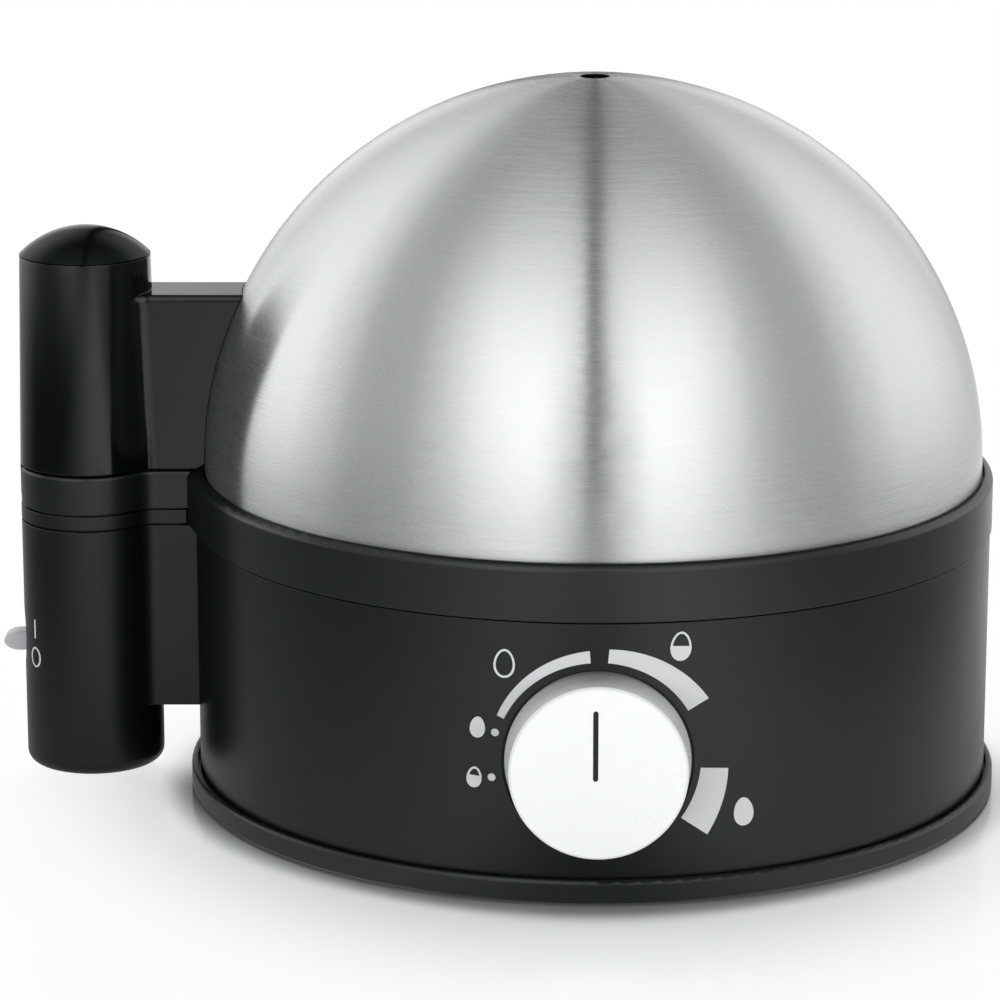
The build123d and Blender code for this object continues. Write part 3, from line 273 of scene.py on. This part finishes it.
def plastic(name, color, rough, grain=FINE_GRAIN, spread=0.12, specular=0.5, edge=0.0):
    """Moulded plastic: a fine grain in the surface and a slow change in colour and gloss."""
    material, nodes, shader, place = new_material(name)
    slow = nodes.noise(place, SLOW_SCALE, detail=4.0)
    fine = nodes.noise(place, GRAIN_SCALE, detail=2.0)
    shade = nodes.mix(slow, scaled(color, 1.0 - spread), scaled(color, 1.0 + spread))
    nodes.link(shade, shader.inputs["Base Color"])
    both = nodes.math("MULTIPLY_ADD", fine, GRAIN_SHARE, nodes.product(slow, 1.0 - GRAIN_SHARE))
    nodes.link(nodes.ramp(both, *NOISE_SPAN, rough * 0.88, rough * 1.12), shader.inputs["Roughness"])
    nodes.link(nodes.bump(fine, grain, edge), shader.inputs["Normal"])
    shader.inputs["Specular IOR Level"].default_value = specular
    return material


def gloss(name, color, rough, specular=0.5):
    """Polished moulded plastic: a slow change in gloss with faint dust on it."""
    material, nodes, shader, place = new_material(name)
    slow = nodes.noise(place, POLISH_SCALE, detail=5.0)
    dust = nodes.noise(place, DUST_SCALE, detail=1.0)
    specks = nodes.ramp(dust, *DUST_SPECKS)
    polish = nodes.ramp(slow, *NOISE_SPAN, rough * 0.8, rough * 1.25)
    nodes.link(nodes.math("MULTIPLY_ADD", specks, DUST_ROUGH, polish), shader.inputs["Roughness"])
    nodes.link(nodes.mix(specks, color, scaled(color, DUST_PALER)), shader.inputs["Base Color"])
    nodes.link(nodes.bump(slow, POLISH_WAVE, POLISH_EDGE), shader.inputs["Normal"])
    shader.inputs["Specular IOR Level"].default_value = specular
    return material


def streaks_round(nodes, x, y, step, scales):
    """Coordinates for streaks that run round the upright axis and change from step to step."""
    round_scale, step_scale = scales
    return nodes.combine(
        nodes.product(x, round_scale), nodes.product(y, round_scale), nodes.product(step, step_scale)
    )


def brushed_round(name, color, rough, dome=True):
    """Steel brushed round the upright axis: fine streaks that follow the turning direction."""
    material, nodes, shader, place = new_material(name)
    x, y, z = nodes.split(place)
    radius = nodes.distance(x, y)
    if dome:
        along = nodes.math("ARCTAN2", radius, nodes.math("SUBTRACT", z, DOME_MIDDLE_Z))
        step = nodes.product(along, DOME_R)
    else:
        step = nodes.total(radius, z)
    fine = streaks_round(nodes, x, y, step, FINE_STREAKS)
    broad = streaks_round(nodes, x, y, step, BROAD_STREAKS)
    lines = nodes.noise(fine, 1.0, detail=2.0, rough=0.6)
    bands = nodes.noise(broad, 1.0, detail=2.0)
    both = nodes.math("MULTIPLY_ADD", lines, FINE_SHARE, nodes.product(bands, 1.0 - FINE_SHARE))
    factor = nodes.ramp(both, *NOISE_SPAN, 0.0, 1.0)
    streaks = nodes.mix(factor, scaled(color, 1.0 - STREAK_SHADE), scaled(color, 1.0 + STREAK_SHADE))
    if dome:
        # painted shade: the steam hole's wall is painted dark
        streaks = painted_hole_shade(nodes, streaks, radius)
    nodes.link(streaks, shader.inputs["Base Color"])
    nodes.link(nodes.ramp(both, *NOISE_SPAN, rough * 0.88, rough * 1.12), shader.inputs["Roughness"])
    nodes.link(nodes.bump(lines, STREAK_HEIGHT), shader.inputs["Normal"])
    shader.inputs["Metallic"].default_value = 0.9
    shader.inputs["Anisotropic"].default_value = 1.0
    shader.inputs["Anisotropic Rotation"].default_value = 0.25
    tangent = nodes.add("ShaderNodeTangent", direction_type="RADIAL", axis="Z")
    nodes.link(tangent.outputs[0], shader.inputs["Tangent"])
    return material


def painted_hole_shade(nodes, steel, radius):
    """Steel painted dark on the wall of the steam hole: painted shade inside the hole."""
    mix = nodes.add("ShaderNodeMix", data_type="RGBA")
    mix.inputs[6].default_value = HOLE_SHADE_COLOR
    nodes.link(nodes.ramp(radius, *HOLE_SHADE_WALL), mix.inputs[0])
    nodes.link(steel, mix.inputs[7])
    return mix.outputs[2]


def metal(name, color, rough):
    """Plain or plated metal: mottled gloss and faint tarnish."""
    material, nodes, shader, place = new_material(name)
    mottle = nodes.noise(place, MOTTLE_SCALE, detail=4.0)
    slow = nodes.noise(place, TARNISH_SCALE, detail=3.0)
    nodes.link(nodes.mix(slow, scaled(color, 0.85), scaled(color, 1.1)), shader.inputs["Base Color"])
    nodes.link(nodes.ramp(mottle, *NOISE_SPAN, rough * 0.75, rough * 1.25), shader.inputs["Roughness"])
    nodes.link(nodes.bump(mottle, MOTTLE_HEIGHT), shader.inputs["Normal"])
    shader.inputs["Metallic"].default_value = 1.0
    return material


def dress():
    """Give each slot of the CAD nodes the material of the same name."""
    made = {name: plastic(name, **values) for name, values in PLASTICS.items()}
    made.update({name: metal(name, **values) for name, values in METALS.items()})
    made["bowl_steel"] = brushed_round("bowl_steel", (0.6, 0.6, 0.61), 0.32, dome=False)
    made["dome_steel"] = brushed_round("dome_steel", (0.66, 0.66, 0.665), 0.28)
    made["column_gloss"] = gloss("column_gloss", GLOSS_BLACK, 0.1)
    for obj in NODES.values():
        for slot in obj.material_slots:
            name = slot.material.name.split(".")[0]
            if name in made:
                slot.material = made[name]
    cap = gloss("cap_gloss", GLOSS_BLACK, 0.16, specular=CAP_SPECULAR)
    NODES["column_cap"].material_slots[0].material = cap


def add_camera():
    data = bpy.data.cameras.new("camera")
    data.lens = CAMERA_LENS
    data.sensor_width = SENSOR_WIDTH
    data.clip_end = CLIP_END
    camera = bpy.data.objects.new("camera", data)
    bpy.context.scene.collection.objects.link(camera)
    yaw = math.radians(CAMERA_YAW)
    pitch = math.radians(CAMERA_PITCH)
    level = math.cos(pitch)
    forward = Vector((math.sin(yaw) * level, math.cos(yaw) * level, -math.sin(pitch)))
    camera.location = CAMERA_PLACE
    camera.rotation_euler = forward.to_track_quat("-Z", "Y").to_euler()
    bpy.context.scene.camera = camera


def add_world():
    """White where the camera looks past the object, a studio with soft boxes where gloss looks."""
    world = bpy.data.worlds.new("studio")
    bpy.context.scene.world = world
    world.use_nodes = True
    world.cycles.sampling_method = "NONE"
    tree = world.node_tree
    tree.nodes.clear()
    nodes = Nodes(tree)
    x, y, z = nodes.split(nodes.add("ShaderNodeTexCoord").outputs["Generated"])
    front = nodes.product(y, -1.0)
    around = nodes.math("ABSOLUTE", nodes.math("ARCTAN2", x, front))
    around = nodes.math("SUBTRACT", around, nodes.ramp(z, *AROUND_BY_HEIGHT))
    high = nodes.ramp(z, *HIGH_SHARE, smooth=True)
    side = nodes.product(nodes.ramp(z, *SIDE_BY_HEIGHT), nodes.ramp(x, *SIDE_BY_X))
    low_part = nodes.product(boxes_round(nodes, around, side), nodes.rest(high))
    level = nodes.math("MULTIPLY_ADD", nodes.ramp(front, *OVERHEAD), high, low_part)
    level = nodes.product(level, nodes.ramp(x, *RIGHT_DIM))
    level = nodes.total(level, nodes.ramp(front, *REAR_RIM))
    level = nodes.product(level, dark_slit(nodes, nodes.math("ABSOLUTE", x), front))
    path = nodes.add("ShaderNodeLightPath")
    level = nodes.product(level, nodes.ramp(path.outputs["Glossy Depth"], *BOUNCES))
    looks = nodes.math("MAXIMUM", path.outputs["Is Glossy Ray"], path.outputs["Is Transmission Ray"])
    strength = nodes.total(nodes.product(level, looks), nodes.product(nodes.rest(looks), WORLD_DIFFUSE))
    camera = path.outputs["Is Camera Ray"]
    strength = nodes.total(nodes.product(strength, nodes.rest(camera)), camera)
    shader = nodes.add("ShaderNodeBackground")
    shader.inputs["Color"].default_value = (1.0, 1.0, 1.0, 1.0)
    nodes.link(strength, shader.inputs["Strength"])
    out = nodes.add("ShaderNodeOutputWorld")
    nodes.link(shader.outputs[0], out.inputs["Surface"])


def boxes_round(nodes, around, side):
    """Brightness by the angle from the front: soft box, dim gap, side fill, back."""
    box = nodes.ramp(around, *FRONT_BOX, smooth=True)
    fill = nodes.product(side, nodes.ramp(around, *SIDE_FILL, smooth=True))
    back = nodes.ramp(around, *BACK_DIM, smooth=True)
    rear = nodes.ramp(around, *REAR_DIM, smooth=True)
    return nodes.total(nodes.total(box, fill), nodes.total(back, rear))


def dark_slit(nodes, aside, front):
    """The gap between the two front boxes: a fine line over the top, wider low down in front."""
    width = nodes.total(nodes.ramp(front, *SLIT_WIDTH), nodes.ramp(front, *SLIT_WIDTH_BEHIND))
    share = nodes.math("DIVIDE", aside, width, clamp=True)
    depth = nodes.total(nodes.ramp(front, *SLIT_DEPTH), nodes.ramp(front, *SLIT_DEPTH_BEHIND))
    wide = nodes.rest(nodes.product(depth, nodes.rest(share)))
    core = nodes.ramp(aside, *SLIT_CORE, smooth=True)
    return nodes.product(wide, core)


def floor_fade(nodes, x, y, away):
    """How far the floor has faded to white; the contact shadow at the cooker's foot stays."""
    fade_away = nodes.distance(nodes.product(x, FADE_STRETCH), y)
    fade = nodes.ramp(fade_away, *FADE_RIM, smooth=True)
    fade = nodes.total(fade, nodes.ramp(fade_away, *FADE_NEAR, smooth=True))
    fade = nodes.total(fade, nodes.ramp(fade_away, *FADE_FAR, smooth=True))
    return nodes.product(fade, nodes.ramp(away, *CONTACT_SHADOW, smooth=True))


def floor_pattern(nodes, x, y, away):
    """What gloss sees on the floor, a painted glow: a bright patch close by, painted shadow dimming it
    next to the cooker, the studio's boxes far off.
    """
    around = nodes.math("ABSOLUTE", nodes.math("ARCTAN2", x, nodes.product(y, -1.0)))
    aside = nodes.math("ABSOLUTE", x)
    rise = nodes.ramp(x, *NEAR_RISE, smooth=True)
    fall = nodes.ramp(x, *NEAR_FALL, smooth=True)
    near = nodes.total(nodes.total(rise, fall), nodes.ramp(y, *NEAR_BEHIND))
    near = nodes.product(near, nodes.ramp(around, *NEAR_BY_ANGLE))
    # painted shadow: the floor's glow dims close to the cooker
    near = nodes.product(near, nodes.ramp(away, *NEAR_PAINTED_SHADOW))
    slit = nodes.ramp(aside, *FLOOR_SLIT, smooth=True)
    slit = nodes.math("MAXIMUM", slit, nodes.ramp(y, *FLOOR_SLIT_END))
    near = nodes.product(near, slit)
    far = nodes.ramp(away, *FAR_SHARE, smooth=True)
    wide = nodes.ramp(nodes.math("DIVIDE", aside, away), *FAR_WIDE, smooth=True)
    boxes = boxes_round(nodes, around, nodes.ramp(x, *SIDE_BY_X))
    far_level = nodes.product(boxes, nodes.product(wide, FAR_LEVEL))
    far_level = nodes.product(far_level, nodes.ramp(x, *FAR_RIGHT_DIM))
    far_level = nodes.product(far_level, far)
    return nodes.math("MULTIPLY_ADD", near, nodes.rest(far), far_level)


def add_floor():
    """A pale satin floor that runs out to white; gloss sees a painted glow on it with the studio's
    pattern and painted shadow.
    """
    corners = [(-1, -1), (1, -1), (1, 1), (-1, 1)]
    mesh = bpy.data.meshes.new("floor")
    mesh.from_pydata([(a * FLOOR_HALF, b * FLOOR_HALF, 0) for a, b in corners], [], [(0, 1, 2, 3)])
    floor = bpy.data.objects.new("floor", mesh)
    bpy.context.scene.collection.objects.link(floor)
    material, nodes, shader, place = new_material("floor")
    material.cycles.emission_sampling = "NONE"
    shader.inputs["Base Color"].default_value = FLOOR_COLOR
    shader.inputs["Roughness"].default_value = FLOOR_ROUGH
    x, y, _ = nodes.split(place)
    away = nodes.distance(x, y)
    fade = floor_fade(nodes, x, y, away)
    path = nodes.add("ShaderNodeLightPath")
    level = floor_pattern(nodes, x, y, away)
    level = nodes.product(level, nodes.ramp(path.outputs["Glossy Depth"], *BOUNCES))
    white = nodes.add("ShaderNodeEmission")
    white.inputs["Color"].default_value = (1.0, 1.0, 1.0, 1.0)
    glow = nodes.add("ShaderNodeEmission")
    nodes.link(level, glow.inputs["Strength"])
    first = nodes.add("ShaderNodeMixShader")
    nodes.link(nodes.product(fade, path.outputs["Is Camera Ray"]), first.inputs[0])
    nodes.link(shader.outputs[0], first.inputs[1])
    nodes.link(white.outputs[0], first.inputs[2])
    second = nodes.add("ShaderNodeMixShader")
    nodes.link(path.outputs["Is Glossy Ray"], second.inputs[0])
    nodes.link(first.outputs[0], second.inputs[1])
    nodes.link(glow.outputs[0], second.inputs[2])
    out = material.node_tree.nodes["Material Output"]
    nodes.link(second.outputs[0], out.inputs["Surface"])
    mesh.materials.append(material)


def add_lamp(name, place, aim, size, watts):
    data = bpy.data.lights.new(name, "AREA")
    data.shape = "RECTANGLE"
    data.size, data.size_y = size
    data.energy = watts
    lamp = bpy.data.objects.new(name, data)
    bpy.context.scene.collection.objects.link(lamp)
    lamp.location = place
    lamp.rotation_euler = (Vector(aim) - Vector(place)).to_track_quat("-Z", "Y").to_euler()
    lamp.visible_glossy = False
    lamp.visible_camera = False


add_camera()
add_world()
add_floor()
for lamp_name, lamp_values in LAMPS.items():
    add_lamp(lamp_name, *lamp_values)
dress()
